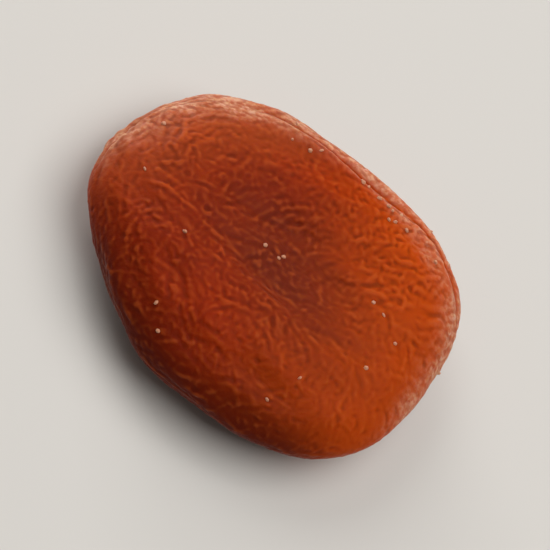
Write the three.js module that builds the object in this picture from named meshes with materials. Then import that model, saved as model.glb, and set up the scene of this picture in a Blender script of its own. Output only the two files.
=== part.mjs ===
// A whole dried apricot: pitted through its stem end and pressed into a plump oval disc.
// It is one body of flesh and skin, and lies on its domed underside with its dished face up.
// Millimetres, +Z up. The origin is on the surface it rests on, below the middle of the fruit.
// +X runs along the fruit from the stem end to the blunt tip. The seam runs along the +Y shoulder.

import * as THREE from "three";
import { mergeVertices } from "three/addons/utils/BufferGeometryUtils.js";

const { PI, abs, atan2, cos, exp, hypot, max, min, pow, sign, sin, sqrt, tan } = Math;

// Driving dimensions.
const LENGTH = 40;
const WIDTH = 32;
const CROWN = 6.0; // rim's top above the widest line
const BELLY = 6.2; // underside below the widest line
const DISH_DEPTH = 2.0;
const REST_SINK = 0.35; // how far its own weight flattens the soft belly

// The skin is grown from a cube with this many cells along each edge.
const GRID = 28;
// A turn of one radian about the fruit's middle crosses about this much skin.
const SKIN_RADIUS = 14;

const smoothstep = (low, high, value) => {
  const t = min(max((value - low) / (high - low), 0), 1);
  return t * t * (3 - 2 * t);
};
const bell = (distance, width) => exp(-((distance / width) ** 2));

// ---------------------------------------------------------------- outline and section

// Seen from above, the outline is an ellipse that is squarer at the tip and along the seam side.
// The two corners where X and Y differ in sign are squarer than the other two.
const OUTLINE_POWER = 2.3;
const TIP_SQUARENESS = 0.45;
const SEAM_SIDE_SQUARENESS = 0.39;
const CORNER_SQUARENESS = 0.12;

// Half a cross-section is a superellipse, fuller at the shoulder than a plain ellipse.
const SHOULDER_POWER = 2.35;
const BELLY_POWER = 2.2;

// The rim isn't level: it is higher at the tip, and it twists a little from end to end.
const TIP_LIFT = 0.5;
const TWIST = 0.35;

function outlineRadius(angle) {
  const sideSquareness = TIP_SQUARENESS * cos(angle) + SEAM_SIDE_SQUARENESS * sin(angle);
  const power = OUTLINE_POWER + sideSquareness - CORNER_SQUARENESS * sin(2 * angle);
  const lengthwise = pow(abs(cos(angle)) / (LENGTH / 2), power);
  const crosswise = pow(abs(sin(angle)) / (WIDTH / 2), power);
  return pow(lengthwise + crosswise, -1 / power);
}

// From the middle of the dished face, over the rim, to the middle of the underside.
// Its reach goes from 0 to 1, and getPointAt steps evenly along the skin.
const MEAN_RADIUS = (LENGTH + WIDTH) / 4;
class HalfSection extends THREE.Curve {
  getPoint(t) {
    const turn = PI * t;
    const above = turn < PI / 2;
    const power = above ? SHOULDER_POWER : BELLY_POWER;
    const height = above ? CROWN : BELLY;
    const reach = pow(sin(turn), 2 / power);
    const rise = sign(cos(turn)) * pow(abs(cos(turn)), 2 / power);
    return new THREE.Vector3(reach * MEAN_RADIUS, 0, rise * height);
  }
}
const halfSection = new HalfSection();
halfSection.arcLengthDivisions = 400;

// ---------------------------------------------------------------- dish

// The face sinks where the stone was. The dish is steep towards the seam and shallow on its other side,
// and a softer trough runs along its floor. Far is the half-width on the seam's side, near the other one.
const DISH = { x: 0.8, y: 3.2, turn: -0.1, length: 34, near: 14, far: 10, depth: DISH_DEPTH };
const TROUGH = { x: -1.0, y: 2.5, turn: -0.24, length: 25, near: 6.5, far: 5.5, depth: 0.5 };

// Where a point lies along and across a line through a place, turned in the plan.
function alongAndAcross(x, y, place) {
  const along = (x - place.x) * cos(place.turn) + (y - place.y) * sin(place.turn);
  const across = (y - place.y) * cos(place.turn) - (x - place.x) * sin(place.turn);
  return { along, across };
}

function hollow(x, y, place) {
  const { along, across } = alongAndAcross(x, y, place);
  const away = hypot(along / (place.length / 2), across / (across > 0 ? place.far : place.near));
  return place.depth * (0.5 + 0.5 * cos(PI * min(away, 1)));
}

// The plump body before any fold or wrinkle, at a direction from its middle.
function bodyPoint(direction) {
  const angle = atan2(direction.y, direction.x);
  const tilt = atan2(hypot(direction.x, direction.y), direction.z);
  const at = halfSection.getPointAt(tilt / PI);
  const reach = at.x / MEAN_RADIUS;
  const radius = outlineRadius(angle) * reach;
  const x = radius * cos(angle);
  const y = radius * sin(angle);
  let z = at.z + reach * reach * (TIP_LIFT * cos(angle) + TWIST * sin(2 * angle));
  if (at.z > 0) z -= hollow(x, y, DISH) + hollow(x, y, TROUGH);
  return new THREE.Vector3(x, y, z);
}

// ---------------------------------------------------------------- relief

// Repeatable random numbers from 0 to 1, by the multiplicative method.
const RANDOM = { multiplier: 16807, modulus: 2147483647 };

function seeded(seed) {
  let state = seed;
  return () => {
    state = (state * RANDOM.multiplier) % RANDOM.modulus;
    return state / RANDOM.modulus;
  };
}

// A wavy field over the skin, made of plane waves of one length in random directions.
// Stretch draws the waves out along X, from the stem end to the tip.
function skinWaves({ seed, count, wavelength, stretch }) {
  const random = seeded(seed);
  const waves = [];
  for (let i = 0; i < count; i++) {
    const rise = 2 * random() - 1;
    const turn = 2 * PI * random();
    const flat = sqrt(1 - rise * rise);
    const number = (2 * PI * SKIN_RADIUS) / wavelength;
    const along = (flat * cos(turn) * number) / stretch;
    waves.push([along, flat * sin(turn) * number, rise * number, 2 * PI * random()]);
  }
  const scale = sqrt(2 / count);
  return ({ x, y, z }) =>
    scale * waves.reduce((sum, [kx, ky, kz, phase]) => sum + cos(kx * x + ky * y + kz * z + phase), 0);
}

// Soft lumps where the flesh dried unevenly, and the wrinkles that the skin gathered in over them.
const LUMPS = { seed: 17, count: 24, wavelength: 14, stretch: 1, height: 0.12 };
const WRINKLES = { seed: 29, count: 40, wavelength: 3.8, stretch: 2.6, height: 0.1 };
const lumps = skinWaves(LUMPS);
const wrinkles = skinWaves(WRINKLES);

// The seam is a groove between two soft lips, over the +Y shoulder. It fades out at the tip and,
// more slowly, towards the stem scar. The ends are X on the unit sphere: where it begins and where it is full.
const SEAM = { lean: 0.36, depth: 0.26, width: 0.65, lipHeight: 0.1, lipAt: 1.3, lipWidth: 0.8 };
const SEAM_ENDS = { stem: { from: -0.8, to: -0.4 }, tip: { from: 0.97, to: 0.8 } };

function seamRelief({ x, y, z }) {
  if (y * cos(SEAM.lean) + z * sin(SEAM.lean) <= 0) return 0;
  const across = SKIN_RADIUS * (z * cos(SEAM.lean) - y * sin(SEAM.lean));
  const lips = bell(across - SEAM.lipAt, SEAM.lipWidth) + bell(across + SEAM.lipAt, SEAM.lipWidth);
  const { stem, tip } = SEAM_ENDS;
  const inside = smoothstep(stem.from, stem.to, x) * smoothstep(tip.from, tip.to, x);
  return inside * (SEAM.lipHeight * lips - SEAM.depth * bell(across, SEAM.width));
}

// At the stem end the skin puckers round the slit that the stone was pushed out of.
const SCAR = { y: 0.1, z: 0.06, length: 3.0, width: 1.0, depth: 0.8 };
const PLEATS = { count: 9, height: 0.16, at: 3.0 };

function scarRelief({ x, y, z }) {
  if (x > 0) return 0;
  const across = SKIN_RADIUS * (y - SCAR.y);
  const up = SKIN_RADIUS * (z - SCAR.z);
  const away = hypot(across, up);
  const pleat = cos(PLEATS.count * atan2(up, across)) * (away / PLEATS.at) * bell(away, PLEATS.at);
  return PLEATS.height * pleat - SCAR.depth * bell(across, SCAR.length) * bell(up, SCAR.width);
}

// Creases pressed into the floor of the dish and the belly, each a short curved line seen from above.
const DISH_CREASES = [
  { x: -3.5, y: 2.4, turn: 0.12, length: 13, bend: 0.02, depth: 0.24 },
  { x: 6.5, y: 1.6, turn: -0.22, length: 12, bend: -0.03, depth: 0.22 },
  { x: 0.5, y: -3.2, turn: 0.05, length: 15, bend: 0.02, depth: 0.26 },
  { x: 9.5, y: -3.8, turn: 0.35, length: 10, bend: -0.02, depth: 0.2 },
  { x: -9.0, y: -1.6, turn: -0.3, length: 9, bend: 0.03, depth: 0.18 },
];
const BELLY_CREASES = [
  { x: -7.0, y: 6.5, turn: 0.2, length: 13, bend: 0.02, depth: 0.45 },
  { x: 6.0, y: 8.0, turn: -0.25, length: 12, bend: -0.02, depth: 0.4 },
  { x: -5.5, y: -7.5, turn: -0.15, length: 14, bend: -0.02, depth: 0.45 },
  { x: 8.5, y: -6.0, turn: 0.4, length: 11, bend: 0.02, depth: 0.4 },
];
const CREASE_WIDTH = 1.0;
// Heights on the unit sphere between which the creases fade in from the waist.
const CREASE_FADE = { from: 0.25, to: 0.6 };

function creaseRelief(x, y, creases) {
  let relief = 0;
  for (const crease of creases) {
    const { along, across } = alongAndAcross(x, y, crease);
    const off = across - crease.bend * along * along;
    relief -= crease.depth * bell(off, CREASE_WIDTH) * bell(along, crease.length / 2);
  }
  return relief;
}

// How far the skin stands out from the plump body at a direction, whose body point is given.
function relief(direction, body) {
  const creases = direction.z > 0 ? DISH_CREASES : BELLY_CREASES;
  const inside = smoothstep(CREASE_FADE.from, CREASE_FADE.to, abs(direction.z));
  const pressed = inside * creaseRelief(body.x, body.y, creases);
  const gathered = LUMPS.height * lumps(direction) + WRINKLES.height * wrinkles(direction);
  return pressed + gathered + seamRelief(direction) + scarRelief(direction);
}

// ---------------------------------------------------------------- assembly

function fruitGeometry() {
  const cube = new THREE.BoxGeometry(2, 2, 2, GRID, GRID, GRID);
  cube.deleteAttribute("normal");
  cube.deleteAttribute("uv");
  const geometry = mergeVertices(cube);
  const position = geometry.attributes.position;

  const directions = [];
  for (let i = 0; i < position.count; i++) {
    // Tangents space the cube's lines at even angles.
    const corner = new THREE.Vector3().fromBufferAttribute(position, i).toArray();
    directions.push(new THREE.Vector3(...corner.map((c) => tan((c * PI) / 4))).normalize());
    position.setXYZ(i, ...bodyPoint(directions[i]).toArray());
  }

  geometry.computeVertexNormals();
  const normal = geometry.attributes.normal;
  const lowest = -BELLY + REST_SINK;
  for (let i = 0; i < position.count; i++) {
    const body = new THREE.Vector3().fromBufferAttribute(position, i);
    const out = new THREE.Vector3().fromBufferAttribute(normal, i);
    const skin = body.clone().addScaledVector(out, relief(directions[i], body));
    position.setXYZ(i, skin.x, skin.y, max(skin.z, lowest));
  }
  geometry.deleteAttribute("normal");

  geometry.computeBoundingBox();
  const { min: low, max: high } = geometry.boundingBox;
  return geometry.translate(-(low.x + high.x) / 2, -(low.y + high.y) / 2, -low.z);
}

const skin = new THREE.MeshStandardMaterial({ name: "skin", color: 0x9a3a12, roughness: 0.45, metalness: 0 });

const fruit = new THREE.Mesh(fruitGeometry(), skin);
fruit.name = "dried_apricot";

const apricot = new THREE.Group();
apricot.add(fruit);

export default apricot;
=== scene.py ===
# A whole dried apricot, lying dished face up on a pale table top under soft light.
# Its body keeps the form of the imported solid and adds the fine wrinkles, colours and glow of the dried flesh.

import math

import bpy
import numpy as np
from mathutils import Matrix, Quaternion, Vector
from mathutils.kdtree import KDTree


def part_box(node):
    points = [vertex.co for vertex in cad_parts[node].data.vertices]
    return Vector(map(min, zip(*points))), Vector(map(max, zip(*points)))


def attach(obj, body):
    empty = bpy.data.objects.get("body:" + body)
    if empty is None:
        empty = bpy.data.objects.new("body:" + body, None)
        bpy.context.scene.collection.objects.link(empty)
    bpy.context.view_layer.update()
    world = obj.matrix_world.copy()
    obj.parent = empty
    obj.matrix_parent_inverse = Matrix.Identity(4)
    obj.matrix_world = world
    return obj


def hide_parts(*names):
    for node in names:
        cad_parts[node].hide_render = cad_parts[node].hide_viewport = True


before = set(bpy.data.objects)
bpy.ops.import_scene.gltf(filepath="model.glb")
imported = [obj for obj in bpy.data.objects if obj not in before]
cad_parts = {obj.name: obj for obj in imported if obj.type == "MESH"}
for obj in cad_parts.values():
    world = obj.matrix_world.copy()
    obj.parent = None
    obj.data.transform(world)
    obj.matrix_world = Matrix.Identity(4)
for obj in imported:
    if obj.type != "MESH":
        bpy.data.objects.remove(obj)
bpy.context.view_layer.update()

# ---------------------------------------------------------------- the dried apricot
# The fruit dries as one piece of leathery, translucent flesh in its own thin skin. The stone is squeezed out
# through the stem end first, and the soft fruit is pressed flat by hand, so that one face sinks into a dish
# and the belly stays domed. Nothing is fixed to it: it lies on its belly by its own weight.

MM = 0.001

# The plump body, in millimetres and radians: X along the fruit to its tip, Y towards its seam, Z up.
LENGTH = 40
WIDTH = 32
CROWN = 6.0  # rim's top above the widest line
BELLY = 6.2  # underside below the widest line
OUTLINE_POWER = 2.3  # 2 is an ellipse, and more is squarer
TIP_SQUARENESS = 0.45  # more power at the tip, and as much less at the stem end
SEAM_SIDE_SQUARENESS = 0.39
CORNER_SQUARENESS = 0.12
SHOULDER_POWER = 2.35  # the upright section's powers, above and below the widest line
BELLY_POWER = 2.2
TIP_LIFT = 0.5  # the rim's rise towards the tip
TWIST = 0.35  # its rise and fall from corner to corner
MEAN_RADIUS = (LENGTH + WIDTH) / 4
SECTION_STEPS = 801
# The dish that the hand presses, and the trough in it where the stone was.
DISH = {"x": 0.8, "y": 3.2, "turn": -0.1, "length": 34, "near": 14, "far": 10, "depth": 2.0}
TROUGH = {"x": -1.0, "y": 2.5, "turn": -0.24, "length": 25, "near": 6.5, "far": 5.5, "depth": 0.5}

# The skin is grown from a cube with this many cells along each edge: a cell is about 0.2 mm wide.
GRID = 128


def smoothstep(low, high, value):
    t = np.clip((value - low) / (high - low), 0, 1)
    return t * t * (3 - 2 * t)


def bell(distance, width):
    return np.exp(-((distance / width) ** 2))


def cube_sphere(cells):
    """Directions to the points of a cube's grid, evenly turned, and its four-sided faces, pointing out."""
    u, v = (side.ravel() for side in np.meshgrid(np.arange(cells + 1), np.arange(cells + 1), indexing="ij"))
    first, second = np.zeros_like(u), np.full_like(u, cells)
    sides = [
        (second, u, v), (first, v, u), (v, second, u),
        (u, first, v), (u, v, second), (v, u, first),
    ]
    lattice = np.concatenate([np.stack(side, axis=1) for side in sides])
    unique, index = np.unique(lattice, axis=0, return_inverse=True)
    corner = (np.arange(cells)[:, None] * (cells + 1) + np.arange(cells)).ravel()
    quad = np.stack([corner, corner + cells + 1, corner + cells + 2, corner + 1], axis=1)
    quads = np.concatenate([index.ravel()[quad + side * len(u)] for side in range(len(sides))])
    turned = np.tan((2 * unique / cells - 1) * math.pi / 4)
    return turned / np.linalg.norm(turned, axis=1, keepdims=True), quads


def outline_radius(angle):
    side_squareness = TIP_SQUARENESS * np.cos(angle) + SEAM_SIDE_SQUARENESS * np.sin(angle)
    power = OUTLINE_POWER + side_squareness - CORNER_SQUARENESS * np.sin(2 * angle)
    lengthwise = (np.abs(np.cos(angle)) / (LENGTH / 2)) ** power
    crosswise = (np.abs(np.sin(angle)) / (WIDTH / 2)) ** power
    return (lengthwise + crosswise) ** (-1 / power)


def half_section(fraction):
    """Reach and height of the half-section, at fractions of its length from the face to the belly."""
    turn = np.linspace(0, math.pi, SECTION_STEPS)
    above = turn < math.pi / 2
    power = np.where(above, SHOULDER_POWER, BELLY_POWER)
    reach = np.sin(turn).clip(0) ** (2 / power)
    height = np.sign(np.cos(turn)) * np.abs(np.cos(turn)) ** (2 / power) * np.where(above, CROWN, BELLY)
    steps = np.hypot(np.diff(reach * MEAN_RADIUS), np.diff(height))
    travelled = np.concatenate([[0], np.cumsum(steps)]) / steps.sum()
    return np.interp(fraction, travelled, reach), np.interp(fraction, travelled, height)


def along_and_across(x, y, place):
    """Where points lie along and across a line through a place, turned in the plan."""
    turn_cos, turn_sin = math.cos(place["turn"]), math.sin(place["turn"])
    along = (x - place["x"]) * turn_cos + (y - place["y"]) * turn_sin
    return along, (y - place["y"]) * turn_cos - (x - place["x"]) * turn_sin


def hollow(x, y, place):
    along, across = along_and_across(x, y, place)
    away = np.hypot(along / (place["length"] / 2), across / np.where(across > 0, place["far"], place["near"]))
    return place["depth"] * (0.5 + 0.5 * np.cos(math.pi * np.minimum(away, 1)))


def body_points(direction):
    angle = np.arctan2(direction[:, 1], direction[:, 0])
    tilt = np.arctan2(np.hypot(direction[:, 0], direction[:, 1]), direction[:, 2])
    reach, height = half_section(tilt / math.pi)
    radius = outline_radius(angle) * reach
    x, y = radius * np.cos(angle), radius * np.sin(angle)
    z = height + reach**2 * (TIP_LIFT * np.cos(angle) + TWIST * np.sin(2 * angle))
    z = np.where(height > 0, z - hollow(x, y, DISH) - hollow(x, y, TROUGH), z)
    return np.stack([x, y, z], axis=1)


directions, quads = cube_sphere(GRID)
body = body_points(directions)
mesh = bpy.data.meshes.new("dried_apricot_skin")
mesh.from_pydata(body * MM, [], quads.tolist())
mesh.update()
normals = np.empty(body.size, dtype=np.float32)
mesh.vertices.foreach_get("normal", normals)
normals = normals.reshape(-1, 3)

# As it loses water the flesh sinks unevenly into soft lumps and folds. The seam of the ripe fruit stays as a
# groove between two lips, and the skin puckers round the slit at the stem end that the stone came out of.
# Creases are laid in the plan, and the seam and the scar on directions from the fruit's middle.
SKIN_RADIUS = 14  # millimetres of skin to a radian of turn
RANDOM_MULTIPLIER, RANDOM_MODULUS = 16807, 2147483647
LUMPS = {"seed": 17, "count": 24, "wavelength": 14, "stretch": 1}
LUMP_HEIGHT = 0.12
FOLDS = {"seed": 29, "count": 40, "wavelength": 3.8, "stretch": 2.6}
FOLD_HEIGHT = 0.1
SEAM = {"lean": 0.36, "depth": 0.26, "width": 0.65, "lip_height": 0.1, "lip_at": 1.3, "lip_width": 0.8}
SEAM_ENDS = {"stem": (-0.8, -0.4), "tip": (0.97, 0.8)}  # from where it begins to where it is full
SCAR = {"y": 0.1, "z": 0.06, "length": 3.0, "width": 1.0, "depth": 0.8, "lip_at": 1.3, "lip_width": 0.8}
PLEATS = {"count": 9, "height": 0.16, "at": 3.0}
CREASE_WIDTH = 1.0
FLAT_ENOUGH_FOR_CREASES = (0.25, 0.6)  # none on the rim's own wall
DISH_CREASES = [
    {"x": -3.5, "y": 2.4, "turn": 0.12, "length": 13, "bend": 0.02, "depth": 0.24},
    {"x": 6.5, "y": 1.6, "turn": -0.22, "length": 12, "bend": -0.03, "depth": 0.22},
    {"x": 0.5, "y": -3.2, "turn": 0.05, "length": 15, "bend": 0.02, "depth": 0.26},
    {"x": 9.5, "y": -3.8, "turn": 0.35, "length": 10, "bend": -0.02, "depth": 0.2},
    {"x": -9.0, "y": -1.6, "turn": -0.3, "length": 9, "bend": 0.03, "depth": 0.18},
]
BELLY_CREASES = [
    {"x": -7.0, "y": 6.5, "turn": 0.2, "length": 13, "bend": 0.02, "depth": 0.45},
    {"x": 6.0, "y": 8.0, "turn": -0.25, "length": 12, "bend": -0.02, "depth": 0.4},
    {"x": -5.5, "y": -7.5, "turn": -0.15, "length": 14, "bend": -0.02, "depth": 0.45},
    {"x": 8.5, "y": -6.0, "turn": 0.4, "length": 11, "bend": 0.02, "depth": 0.4},
]


def seeded(seed):
    """Repeatable random numbers from 0 to 1."""
    state = seed
    while True:
        state = state * RANDOM_MULTIPLIER % RANDOM_MODULUS
        yield state / RANDOM_MODULUS


def skin_waves(direction, seed, count, wavelength, stretch):
    """A wavy field over the skin: plane waves of one length in random directions, drawn out along X."""
    random = seeded(seed)
    number = 2 * math.pi * SKIN_RADIUS / wavelength
    field = np.zeros(len(direction))
    for _ in range(count):
        rise = 2 * next(random) - 1
        turn = 2 * math.pi * next(random)
        flat = math.sqrt(1 - rise * rise)
        wave = (flat * math.cos(turn) * number / stretch, flat * math.sin(turn) * number, rise * number)
        field += np.cos(direction @ np.array(wave) + 2 * math.pi * next(random))
    return field * math.sqrt(2 / count)


def across_seam(direction):
    """How far points lie across the seam, in millimetres, and how fully the seam is formed there."""
    x, y, z = direction.T
    lean_cos, lean_sin = math.cos(SEAM["lean"]), math.sin(SEAM["lean"])
    formed = smoothstep(*SEAM_ENDS["stem"], x) * smoothstep(*SEAM_ENDS["tip"], x)
    return SKIN_RADIUS * (z * lean_cos - y * lean_sin), np.where(y * lean_cos + z * lean_sin > 0, formed, 0)


def seam_relief(direction):
    across, formed = across_seam(direction)
    lips = bell(across - SEAM["lip_at"], SEAM["lip_width"]) + bell(across + SEAM["lip_at"], SEAM["lip_width"])
    return formed * (SEAM["lip_height"] * lips - SEAM["depth"] * bell(across, SEAM["width"]))


def across_and_up_from_scar(direction):
    return SKIN_RADIUS * (direction[:, 1] - SCAR["y"]), SKIN_RADIUS * (direction[:, 2] - SCAR["z"])


def scar_relief(direction):
    across, up = across_and_up_from_scar(direction)
    away = np.hypot(across, up)
    pleat = np.cos(PLEATS["count"] * np.arctan2(up, across)) * away / PLEATS["at"] * bell(away, PLEATS["at"])
    scar = PLEATS["height"] * pleat - SCAR["depth"] * bell(across, SCAR["length"]) * bell(up, SCAR["width"])
    return np.where(direction[:, 0] < 0, scar, 0)


def crease_relief(x, y, creases):
    relief = np.zeros(len(x))
    for crease in creases:
        along, across = along_and_across(x, y, crease)
        off = across - crease["bend"] * along**2
        relief -= crease["depth"] * bell(off, CREASE_WIDTH) * bell(along, crease["length"] / 2)
    return relief


pressed = np.where(
    directions[:, 2] > 0,
    crease_relief(body[:, 0], body[:, 1], DISH_CREASES),
    crease_relief(body[:, 0], body[:, 1], BELLY_CREASES),
) * smoothstep(*FLAT_ENOUGH_FOR_CREASES, np.abs(directions[:, 2]))
lumps = LUMP_HEIGHT * skin_waves(directions, **LUMPS)
folds = FOLD_HEIGHT * skin_waves(directions, **FOLDS)
relief = pressed + lumps + folds + seam_relief(directions) + scar_relief(directions)

# The skin is thin and tough and shrinks less than the flesh, so it gathers in fine wrinkles about 1 mm apart.
# They run along the fruit on both faces, slantwise on the seam's half of the dish, in rings round the rim,
# and like spokes at the tip's shoulder. Each is a ridge between two shallow grooves, or the other way up.
LONG_WRINKLES = {"seed": 47, "count": 1200, "length": 2.4, "spacing": 0.95, "height": 0.042, "stray": 0.45}
SHORT_WRINKLES = {"seed": 53, "count": 6500, "length": 1.0, "spacing": 0.7, "height": 0.031, "stray": 1.0}
# The wrinkles stand higher where the skin gathers, and lower where the plump flesh keeps it taut.
GATHERED_PLACES = [
    {"x": 10, "y": 8.5, "radius": 5, "share": 1.3},
    {"x": -16, "y": 5, "radius": 4.5, "share": 1.1},
    {"x": -13, "y": -4, "radius": 6, "share": 0.4},
    {"x": 12, "y": -6, "radius": 6, "share": -0.2},
    {"x": -9, "y": 8, "radius": 5, "share": -0.1},
]
UPSIDE_DOWN_SHARE = 0.45
LOWEST_SHARE = 0.4  # the faintest wrinkle's height over the strongest one's
WRINKLE_BEND = 0.08  # at most this many millimetres aside, at one millimetre along
RIPPLE = 2.45  # the spacing that the eye sees, over the width of a ripple's bell curve
# Each pair of bounds runs from where a change begins to where it is full: outwards for the rings, towards
# the tip for the spokes and towards the seam for the slant, as shares of the way from the middle.
RIM_BOUNDS = (0.5, 0.85)
SPOKE_BOUNDS = (0.2, 0.6)
SLANT_BOUNDS = (-0.25, 0.35)
SEAM_SIDE_SLANT = 0.75
DRIFT = {"seed": 5, "count": 16, "wavelength": 14, "stretch": 1}  # keeps the borders between runs uneven
DRIFT_HEIGHT = 0.2
TINY = 1e-9  # keeps a line without a length or a side from dividing by nought


def unit(vectors):
    return vectors / np.maximum(np.linalg.norm(vectors, axis=1, keepdims=True), TINY)


def bent_towards(lines, others, share):
    """Turns undirected lines part of the way towards other ones."""
    same_way = np.sign((lines * others).sum(axis=1, keepdims=True) + TINY)
    return unit(lines * (1 - share[:, None]) + same_way * others * share[:, None])


x, y, z = directions.T
drift = DRIFT_HEIGHT * skin_waves(directions, **DRIFT)
rim_share = smoothstep(*RIM_BOUNDS, np.hypot(x, y) + drift)
spoke_share = rim_share * smoothstep(*SPOKE_BOUNDS, x + drift)
slant = SEAM_SIDE_SLANT * smoothstep(*SLANT_BOUNDS, body[:, 1] / (WIDTH / 2) + drift) * (z > 0)
lengthwise = np.stack([np.cos(slant), np.sin(slant), np.zeros_like(x)], axis=1)
outward = unit(np.stack([x, y, np.zeros_like(x)], axis=1))
ringwise = np.stack([outward[:, 1], -outward[:, 0], np.zeros_like(x)], axis=1)
run = bent_towards(bent_towards(lengthwise, ringwise, rim_share), outward, spoke_share)
run = unit(run - (run * normals).sum(axis=1, keepdims=True) * normals)
side = np.cross(normals, run)

# Finds the skin that lies within a wrinkle's reach.
finder = KDTree(len(body))
for index, point in enumerate(body):
    finder.insert(point, index)
finder.balance()


def ripple(distance, width):
    return (1 - 2 * (distance / width) ** 2) * bell(distance, width)


def wrinkle_relief(seed, count, length, spacing, height, stray):
    """The height that strewn wrinkles give the skin, each laid along the run of its place, give or take."""
    random = seeded(seed)
    relief = np.zeros(len(body))
    for _ in range(count):
        spot = int(next(random) * len(body))
        # Three draws together lie mostly near their mean of one and a half.
        turn = stray * (next(random) + next(random) + next(random) - 1.5) * 2
        bend = WRINKLE_BEND * (2 * next(random) - 1)
        rise = height * (LOWEST_SHARE + (1 - LOWEST_SHARE) * next(random))
        rise *= -1 if next(random) < UPSIDE_DOWN_SHARE else 1
        near = np.array([index for _, index, _ in finder.find_range(body[spot], length)])
        offset = body[near] - body[spot]
        along = offset @ (run[spot] * math.cos(turn) + side[spot] * math.sin(turn))
        across = offset @ (side[spot] * math.cos(turn) - run[spot] * math.sin(turn)) - bend * along**2
        facing = normals[near] @ normals[spot] > 0
        relief[near] += rise * bell(along, length / 2) * ripple(across, spacing / RIPPLE) * facing
    return relief


fine_height = wrinkle_relief(**LONG_WRINKLES) + wrinkle_relief(**SHORT_WRINKLES)
usual_height = fine_height.std()
for spot in GATHERED_PLACES:
    away = np.hypot(body[:, 0] - spot["x"], body[:, 1] - spot["y"])
    fine_height *= 1 + spot["share"] * bell(away, spot["radius"]) * (z > 0)

# The relief is laid on the body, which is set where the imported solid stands, with a small flat to rest on.
REST_SINK = 0.35  # how far its own weight flattens the soft belly

points = body + normals * (relief + fine_height)[:, None]
points[:, 2] = np.maximum(points[:, 2], -BELLY + REST_SINK)
low, high = (np.array(corner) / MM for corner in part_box("dried_apricot"))
own_low, own_high = points.min(axis=0), points.max(axis=0)
shift = (low + high - own_low - own_high) / 2
shift[2] = low[2] - own_low[2]
points += shift
mesh.vertices.foreach_set("co", (points * MM).ravel())

# Where the colours lie. The flesh is brightest orange towards the tip: partly its own ripe colour, partly
# painted light of its glow. Painted shade browns the dish and a patch near the stem end, and darkens the flank,
# where the flesh is also darker. Where the rim turns away from the camera it is a dusty tan: dust, and painted
# sheen.
# Painted shade, as browner flesh, in the dish's hollow and in a patch near the stem end.
BROWN_SHADE_PLACES = [
    {"x": 1.4, "y": -0.8, "turn": -0.31, "length": 23, "width": 12.5, "share": 1.0},
    {"x": -11, "y": -4.5, "turn": -0.4, "length": 13, "width": 10, "share": 0.25},
]
# The sides are directions, and each pair of bounds runs from where a colour begins to where it is full.
# The tip's side, where painted light of the glow lies over the flesh's own ripe orange.
RIPE_AND_LIT_SIDE = np.array((0.99, 0.14, 0.0))
# Low on this side the flesh is darker, and painted shade darkens it further.
FLANK_SIDE = np.array((-0.1, -1.0, 0.0))
FLANK_BOUNDS = (0.35, 0.75)
FLANK_BOUNDS_DOWNWARD = (0.75, -0.1)
# Painted sheen makes the rim paler beside the stem end.
STEM_CORNER = np.array((-0.45, 0.89, 0.0))  # the rim is paler beside the stem end
CORNER_BOUNDS = (-0.3, 0.7)
CORNER_BOUNDS_LENGTHWISE = (0.25, -0.6)
CORNER_BOUNDS_OUTWARD = (0.25, 0.95)
TOWARDS_CAMERA = np.array((-0.05, -0.5, 0.87))  # the rim is painted pale where the skin turns away from the camera: painted sheen, and dust
DUST_AND_SHEEN_BOUNDS = (0.84, 0.5)
DUST_AND_SHEEN_UNDERNEATH = (-0.45, 0.05)
DUST_AND_SHEEN_UPWARD = (-0.6, 0.0)
DUST_AND_SHEEN_BACKWARD = (-0.5, 0.0)
DUST_AND_SHEEN_OUTWARD = (0.72, 0.9)
# The beds of the seam and the slit hold no dust, and get painted shade as dark as a wrinkle groove of this many
# usual depths.
BED_WIDTH, BED_SHADE = 0.45, 1.5


def store(name, values):
    mesh.attributes.new(name, "FLOAT", "POINT").data.foreach_set("value", values.astype(np.float32))


# Painted shade as browner flesh in the dish and near the stem end.
brown_shade = np.zeros_like(z)
for spot in BROWN_SHADE_PLACES:
    along, across = along_and_across(body[:, 0], body[:, 1], spot)
    brown_shade += spot["share"] * bell(along, spot["length"] / 2) * bell(across, spot["width"] / 2) * (z > 0)
store("brown_shade", np.minimum(brown_shade, 1))
store("ripe_and_lit", directions @ RIPE_AND_LIT_SIDE)
# Painted shade, with darker flesh, low on the flank.
store("flank_shade", smoothstep(*FLANK_BOUNDS_DOWNWARD, z) * smoothstep(*FLANK_BOUNDS, directions @ FLANK_SIDE))
from_middle = np.hypot(body[:, 0] / (LENGTH / 2), body[:, 1] / (WIDTH / 2))
# Painted sheen on the rim beside the stem end.
corner_sheen_place = smoothstep(*CORNER_BOUNDS, directions @ STEM_CORNER) * smoothstep(*CORNER_BOUNDS_LENGTHWISE, x)
store("corner_sheen", corner_sheen_place * smoothstep(*CORNER_BOUNDS_OUTWARD, from_middle))
# Painted sheen, with dust, where the rim turns away from the camera, above and towards the seam.
facing_camera = normals @ TOWARDS_CAMERA
rim_dust_and_sheen = smoothstep(*DUST_AND_SHEEN_BOUNDS, facing_camera) * smoothstep(*DUST_AND_SHEEN_UNDERNEATH, facing_camera)
rim_dust_and_sheen *= smoothstep(*DUST_AND_SHEEN_OUTWARD, from_middle)
rim_dust_and_sheen *= smoothstep(*DUST_AND_SHEEN_UPWARD, normals[:, 2])
rim_dust_and_sheen *= smoothstep(*DUST_AND_SHEEN_BACKWARD, normals[:, 1])
scar_across, scar_up = across_and_up_from_scar(directions)
at_scar = bell(scar_across, SCAR["length"]) * (x < 0)
scar_lips = at_scar * bell(np.abs(scar_up) - SCAR["lip_at"], SCAR["lip_width"])
seam_across, seam_formed = across_seam(directions)
beds = np.maximum(seam_formed * bell(seam_across, BED_WIDTH), at_scar * bell(scar_up, BED_WIDTH))
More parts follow.
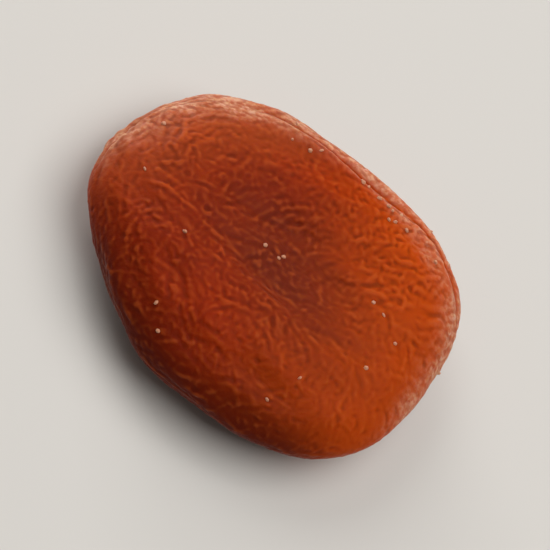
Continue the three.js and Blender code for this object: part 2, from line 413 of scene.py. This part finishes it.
store("dust_and_sheen", np.maximum(rim_dust_and_sheen, scar_lips) * (1 - beds))
# Wrinkle tops get painted highlight from this value, and the grooves and the beds get painted shade.
store("ridge", fine_height / usual_height - BED_SHADE * beds)
mesh.shade_smooth()
mesh.update()

skin = bpy.data.objects.new("dried_apricot_skin", mesh)
bpy.context.collection.objects.link(skin)

# The skin's material: sun-dried fruit flesh, a stiff sugary jelly under a thin leathery skin. Light goes a
# millimetre or two into it, so it glows orange in the light and deep red in the shade, with hardly any shine.
# Wrinkle tops get painted highlight and the grooves painted shade, and on the rim the dust, with painted sheen,
# lies on the tops.
# The pores and the dust are far too fine to show, so the skin's grain is drawn at 0.4 mm, to break up the
# shine, and the dust's at 0.5 mm.
FLESH_DEEP, FLESH_WARM = "#882408", "#982b09"
# partly the ripe flesh's own orange, partly painted light of the tip's glow
RIPE_AND_LIT_ORANGE = "#b2420a"
# painted sheen on the rim beside the stem end
CORNER_SHEEN_ORANGE = "#b45a2c"
# painted shade in the dish and near the stem end
SHADE_BROWN = "#6c2616"
# darker flesh and painted shade low on the flank
FLANK_SHADE_MAROON = "#5c180a"
# painted highlight on wrinkle tops
RIDGE_HIGHLIGHT_ORANGE = "#cc6428"
# painted shade in wrinkle grooves and in the beds of the seam and the slit
GROOVE_SHADE_MAROON = "#581808"
# dust, and painted sheen where the rim turns away from the camera
DUST_AND_SHEEN_TAN = "#cc9a7c"
SHEEN_CREAM = "#ffedda"
# Speckled patterns: their sizes in millimetres, and their detail.
SPECKLES = {"blotches": (6.2, 3.0), "dust": (0.5, 4.0), "dust_patches": (3.3, 2.0), "skin_grain": (0.4, 2.0)}
SKIN_GRAIN_DEPTH = 0.1
SKIN_GRAIN_STRENGTH = 0.7
LIGHT_REACH = 1.5  # how far red light goes into the flesh
# What a pattern or a stored value gives between two bounds: a colour's or the dust's share, or a roughness.
READINGS = {
    "blotched": {"of": "blotches", "between": (0.35, 0.65), "gives": (0.0, 1.0)},
    "orange": {"of": "ripe_and_lit", "between": (-0.3, 0.85), "gives": (0.0, 1.0)},
    "sheened_corner": {"of": "corner_sheen", "between": (0.0, 1.0), "gives": (0.0, 0.42)},
    "ridge_highlight": {"of": "ridge", "between": (-0.5, 3.0), "gives": (0.0, 0.24)},
    "groove_shade": {"of": "ridge", "between": (0.5, -3.0), "gives": (0.0, 0.4)},
    "dust_on_tops": {"of": "ridge", "between": (-1.2, 1.0), "gives": (0.4, 1.0)},
    "dust_in_specks": {"of": "dust", "between": (0.4, 0.62), "gives": (0.42, 1.0)},
    "dust_in_patches": {"of": "dust_patches", "between": (0.35, 0.6), "gives": (0.45, 1.0)},
    "roughness": {"of": "skin_grain", "between": (0.3, 0.7), "gives": (0.38, 0.5)},
}
MIX_FACTOR, MIX_A, MIX_B, MIX_RESULT = 0, 6, 7, 2  # a colour Mix node's sockets


def colour(hex_code):
    """Linear RGBA for an sRGB hex colour."""
    channels = [int(hex_code[i : i + 2], 16) / 255 for i in (1, 3, 5)]
    return (*((c / 12.92 if c <= 0.04045 else ((c + 0.055) / 1.055) ** 2.4) for c in channels), 1)


def add(tree, kind, inputs=None, **settings):
    """Adds a node with its settings and, by socket, its values or the outputs that it is linked to."""
    node = tree.nodes.new(kind)
    for name, value in settings.items():
        setattr(node, name, value)
    for socket, value in (inputs or {}).items():
        if isinstance(value, bpy.types.NodeSocket):
            tree.links.new(value, node.inputs[socket])
        else:
            node.inputs[socket].default_value = value
    return node


def dried_flesh_material():
    material = bpy.data.materials.new("sun-dried fruit flesh, leathery and translucent")
    material.use_nodes = True
    tree = material.node_tree
    tree.nodes.clear()
    place = add(tree, "ShaderNodeTexCoord").outputs["Object"]

    value = {}
    for name in ("ripe_and_lit", "corner_sheen", "brown_shade", "flank_shade", "ridge", "dust_and_sheen"):
        value[name] = add(tree, "ShaderNodeAttribute", attribute_name=name).outputs["Fac"]
    for name, (size, detail) in SPECKLES.items():
        inputs = {"Vector": place, "Scale": 1 / (size * MM), "Detail": detail}
        value[name] = add(tree, "ShaderNodeTexNoise", inputs).outputs["Fac"]
    for name, reading in READINGS.items():
        inputs = {
            "Value": value[reading["of"]],
            "From Min": reading["between"][0], "From Max": reading["between"][1],
            "To Min": reading["gives"][0], "To Max": reading["gives"][1],
        }
        eased = add(tree, "ShaderNodeMapRange", inputs, interpolation_type="SMOOTHSTEP")
        value[name] = eased.outputs["Result"]
    # Dust, and painted sheen on the rim, in specks and patches and more on the wrinkle tops.
    value["dust_and_sheen_share"] = value["dust_in_patches"]
    for name in ("dust_in_specks", "dust_on_tops", "dust_and_sheen"):
        product = add(tree, "ShaderNodeMath", {0: value[name], 1: value["dust_and_sheen_share"]}, operation="MULTIPLY")
        value["dust_and_sheen_share"] = product.outputs["Value"]

    # Each colour is laid over the ones before it by its own share.
    base = colour(FLESH_DEEP)
    for share, over in (
        ("blotched", FLESH_WARM), ("orange", RIPE_AND_LIT_ORANGE), ("sheened_corner", CORNER_SHEEN_ORANGE), ("brown_shade", SHADE_BROWN),
        ("flank_shade", FLANK_SHADE_MAROON), ("ridge_highlight", RIDGE_HIGHLIGHT_ORANGE), ("groove_shade", GROOVE_SHADE_MAROON),
        ("dust_and_sheen_share", DUST_AND_SHEEN_TAN),
    ):
        inputs = {MIX_FACTOR: value[share], MIX_A: base, MIX_B: colour(over)}
        base = add(tree, "ShaderNodeMix", inputs, data_type="RGBA").outputs[MIX_RESULT]

    bump = add(tree, "ShaderNodeBump", {
        "Height": value["skin_grain"],
        "Strength": SKIN_GRAIN_STRENGTH,
        "Distance": SKIN_GRAIN_DEPTH * MM,
    })
    shader = add(tree, "ShaderNodeBsdfPrincipled", {
        "Base Color": base,
        "Roughness": value["roughness"],
        "IOR": 1.45,  # thick sugar syrup
        "Subsurface Weight": 0.6,
        "Subsurface Radius": (1.0, 0.25, 0.06),  # red light goes deepest
        "Subsurface Scale": LIGHT_REACH * MM,
        "Specular IOR Level": 0.03,  # the dried film is dull
        "Sheen Weight": 0.1,  # its fine fuzz catches light at the edges
        "Sheen Roughness": 0.3,
        "Sheen Tint": colour(SHEEN_CREAM),
        "Normal": bump.outputs["Normal"],
    })
    add(tree, "ShaderNodeOutputMaterial", {"Surface": shader.outputs["BSDF"]})
    return material


mesh.materials.append(dried_flesh_material())
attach(skin, "root")
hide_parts("dried_apricot")

# ---------------------------------------------------------------- sugar grains
# Tiny crumbs of the fruit's own sugar that dried out on the skin: some lie scattered over the upper side, and
# some in a row on the edge of the pale rim. They are pale, crystalline and uneven, and stuck on by syrup.

GRAINS_PER_SQUARE_METRE = 12000.0
SMALLEST_GRAIN = 0.12  # half its width, in millimetres
LARGEST_GRAIN = 0.32
GRAIN_SEED = 7
GRAIN_COLOUR = "#c48866"
GRAIN_LIGHT_REACH = 0.2
BARE_UPWARD = (-0.1, 0.3)  # no grains on the underside
# The row lies where the skin has turned this far from the camera. Its share is the grains that it adds
# to each one that lies there anyway.
GRAIN_ROW = {"x": 3, "radius": 4.5, "facing": 0.66, "width": 0.07, "share": 110}

row = bell(facing_camera - GRAIN_ROW["facing"], GRAIN_ROW["width"]) * (y > 0)
row *= bell(body[:, 0] - GRAIN_ROW["x"], GRAIN_ROW["radius"])
store("grain_share", smoothstep(*BARE_UPWARD, normals[:, 2]) * (1 + GRAIN_ROW["share"] * row))


def grain_tree(material):
    """Strews small uneven grains over a surface, more thickly where its grain_share is higher."""
    tree = bpy.data.node_groups.new("grains strewn over a surface", "GeometryNodeTree")
    for name, kind in (
        ("Surface", "NodeSocketGeometry"), ("Density", "NodeSocketFloat"), ("Smallest", "NodeSocketFloat"),
        ("Largest", "NodeSocketFloat"), ("Seed", "NodeSocketInt"),
    ):
        tree.interface.new_socket(name, in_out="INPUT", socket_type=kind)
    tree.interface.new_socket("Grains", in_out="OUTPUT", socket_type="NodeSocketGeometry")
    given = add(tree, "NodeGroupInput").outputs
    share = add(tree, "GeometryNodeInputNamedAttribute", {"Name": "grain_share"}, data_type="FLOAT")
    density = add(tree, "ShaderNodeMath", {
        0: given["Density"], 1: share.outputs["Attribute"],
    }, operation="MULTIPLY").outputs["Value"]
    spots = add(tree, "GeometryNodeDistributePointsOnFaces", {
        "Mesh": given["Surface"], "Density": density, "Seed": given["Seed"],
    }).outputs["Points"]
    # A ball of twenty faces is enough for a crumb, and the random sizes along its axes make it uneven.
    grain = add(tree, "GeometryNodeMeshIcoSphere", {"Radius": 1.0, "Subdivisions": 1}).outputs["Mesh"]
    size = add(tree, "FunctionNodeRandomValue", {
        "Min": given["Smallest"], "Max": given["Largest"], "Seed": given["Seed"],
    }, data_type="FLOAT_VECTOR").outputs["Value"]
    turn = add(tree, "FunctionNodeRandomValue", {
        "Min": (0.0, 0.0, 0.0), "Max": (math.tau, math.tau, math.tau), "Seed": given["Seed"],
    }, data_type="FLOAT_VECTOR").outputs["Value"]
    strewn = add(tree, "GeometryNodeInstanceOnPoints", {
        "Points": spots, "Instance": grain, "Rotation": turn, "Scale": size,
    }).outputs["Instances"]
    solid = add(tree, "GeometryNodeRealizeInstances", {"Geometry": strewn}).outputs["Geometry"]
    finished = add(tree, "GeometryNodeSetMaterial", {"Geometry": solid, "Material": material})
    add(tree, "NodeGroupOutput", {"Grains": finished.outputs["Geometry"]})
    return tree


def dried_sugar_material():
    """Dried fruit sugar: pale cloudy crystals, stained by the syrup, that catch the light as small specks."""
    material = bpy.data.materials.new("dried fruit sugar, cloudy and stained")
    material.use_nodes = True
    tree = material.node_tree
    tree.nodes.clear()
    shader = add(tree, "ShaderNodeBsdfPrincipled", {
        "Base Color": colour(GRAIN_COLOUR),
        "Roughness": 0.5,
        "Subsurface Weight": 0.3,
        "Subsurface Radius": (1.0, 0.6, 0.3),
        "Subsurface Scale": GRAIN_LIGHT_REACH * MM,
    })
    add(tree, "ShaderNodeOutputMaterial", {"Surface": shader.outputs["BSDF"]})
    return material


# A second use of the skin's mesh, that the grains are strewn over and that is then taken away.
bed = bpy.data.objects.new("grain_bed", mesh)
bpy.context.collection.objects.link(bed)
strewing = bed.modifiers.new("grains", "NODES")
strewing.node_group = grain_tree(dried_sugar_material())
identifiers = {item.name: item.identifier for item in strewing.node_group.interface.items_tree}
for name, value in (
    ("Density", GRAINS_PER_SQUARE_METRE), ("Smallest", SMALLEST_GRAIN * MM),
    ("Largest", LARGEST_GRAIN * MM), ("Seed", GRAIN_SEED),
):
    strewing[identifiers[name]] = value
grain_mesh = bpy.data.meshes.new_from_object(bed.evaluated_get(bpy.context.evaluated_depsgraph_get()))
bpy.data.objects.remove(bed)
grains = bpy.data.objects.new("sugar_grains", grain_mesh)
bpy.context.collection.objects.link(grains)
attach(grains, "root")

# ---------------------------------------------------------------- table top
# A plain studio table, big enough that its edges never show, faced in matt off-white laminate. It isn't part
# of the fruit: it only takes the shadow and throws soft light back up at the belly.

TABLE_SIZE = 6.0  # metres
TABLE_OFF_WHITE = "#cfcbc5"
TABLE_ROUGHNESS = 0.7

half = TABLE_SIZE / 2
table_mesh = bpy.data.meshes.new("table_top")
corners = [(-half, -half, 0), (half, -half, 0), (half, half, 0), (-half, half, 0)]
table_mesh.from_pydata(corners, [], [(0, 1, 2, 3)])
table_top = bpy.data.objects.new("table_top", table_mesh)
bpy.context.collection.objects.link(table_top)
laminate = bpy.data.materials.new("matt off-white laminate")
laminate.use_nodes = True
laminate_shader = laminate.node_tree.nodes["Principled BSDF"]
laminate_shader.inputs["Base Color"].default_value = colour(TABLE_OFF_WHITE)
laminate_shader.inputs["Roughness"].default_value = TABLE_ROUGHNESS
table_mesh.materials.append(laminate)

# ---------------------------------------------------------------- camera
# A long lens looks steeply down on the dished face from the flank, a little round towards the stem end. It is
# rolled so that the fruit lies slantwise in the frame, with its tip at the lower right. Sizes are in metres
# and turns in degrees.

CAMERA_AZIMUTH = -6
CAMERA_ELEVATION = 60
CAMERA_ROLL = 45
CAMERA_DISTANCE = 0.319
CAMERA_RIGHT, CAMERA_UP = 0.0012, -0.0003  # centre the outline in the frame
CAMERA_CLIP_START = 0.01
FRAME_WIDTH = 0.0542

middle = Vector((low + high) / 2 * MM)
azimuth, elevation = math.radians(CAMERA_AZIMUTH), math.radians(CAMERA_ELEVATION)
back = Vector((
    math.sin(azimuth) * math.cos(elevation),
    -math.cos(azimuth) * math.cos(elevation),
    math.sin(elevation),
))
camera_data = bpy.data.cameras.new("camera")
camera_data.lens = camera_data.sensor_width * CAMERA_DISTANCE / FRAME_WIDTH
camera_data.clip_start = CAMERA_CLIP_START
camera = bpy.data.objects.new("camera", camera_data)
camera.rotation_mode = "QUATERNION"
upright = (-back).to_track_quat("-Z", "Y")
camera.rotation_quaternion = upright @ Quaternion((0, 0, 1), math.radians(CAMERA_ROLL))
camera.location = middle + camera.rotation_quaternion @ Vector((CAMERA_RIGHT, CAMERA_UP, CAMERA_DISTANCE))
bpy.context.collection.objects.link(camera)
bpy.context.scene.camera = camera

# ---------------------------------------------------------------- light
# A large soft box over the right shoulder makes the shape, a smaller one above fills the crown, and a low
# window light behind shines through the far rim. A faint even glow keeps the shadows open.

WORLD_TINT = "#f2efea"
WORLD_STRENGTH = 0.15


def soft_box(name, place, size, power):
    """A square light facing the fruit, placed right, up and back from it as the camera sees it, in metres."""
    data = bpy.data.lights.new(name, "AREA")
    data.size = size
    data.energy = power
    light = bpy.data.objects.new(name, data)
    light.location = middle + camera.rotation_quaternion @ Vector(place)
    light.rotation_mode = "QUATERNION"
    light.rotation_quaternion = (middle - light.location).to_track_quat("-Z", "Y")
    bpy.context.collection.objects.link(light)


soft_box("key", place=(0.4, 0.15, 0.5), size=0.6, power=4.0)
soft_box("top", place=(0.0, 0.6, 0.3), size=0.35, power=1.25)
soft_box("window", place=(-0.1, 0.6, -0.1), size=0.25, power=2.0)

world = bpy.data.worlds.new("studio")
world.use_nodes = True
glow = world.node_tree.nodes["Background"]
glow.inputs["Color"].default_value = colour(WORLD_TINT)
glow.inputs["Strength"].default_value = WORLD_STRENGTH
bpy.context.scene.world = world
bpy.context.scene.view_settings.view_transform = "Standard"
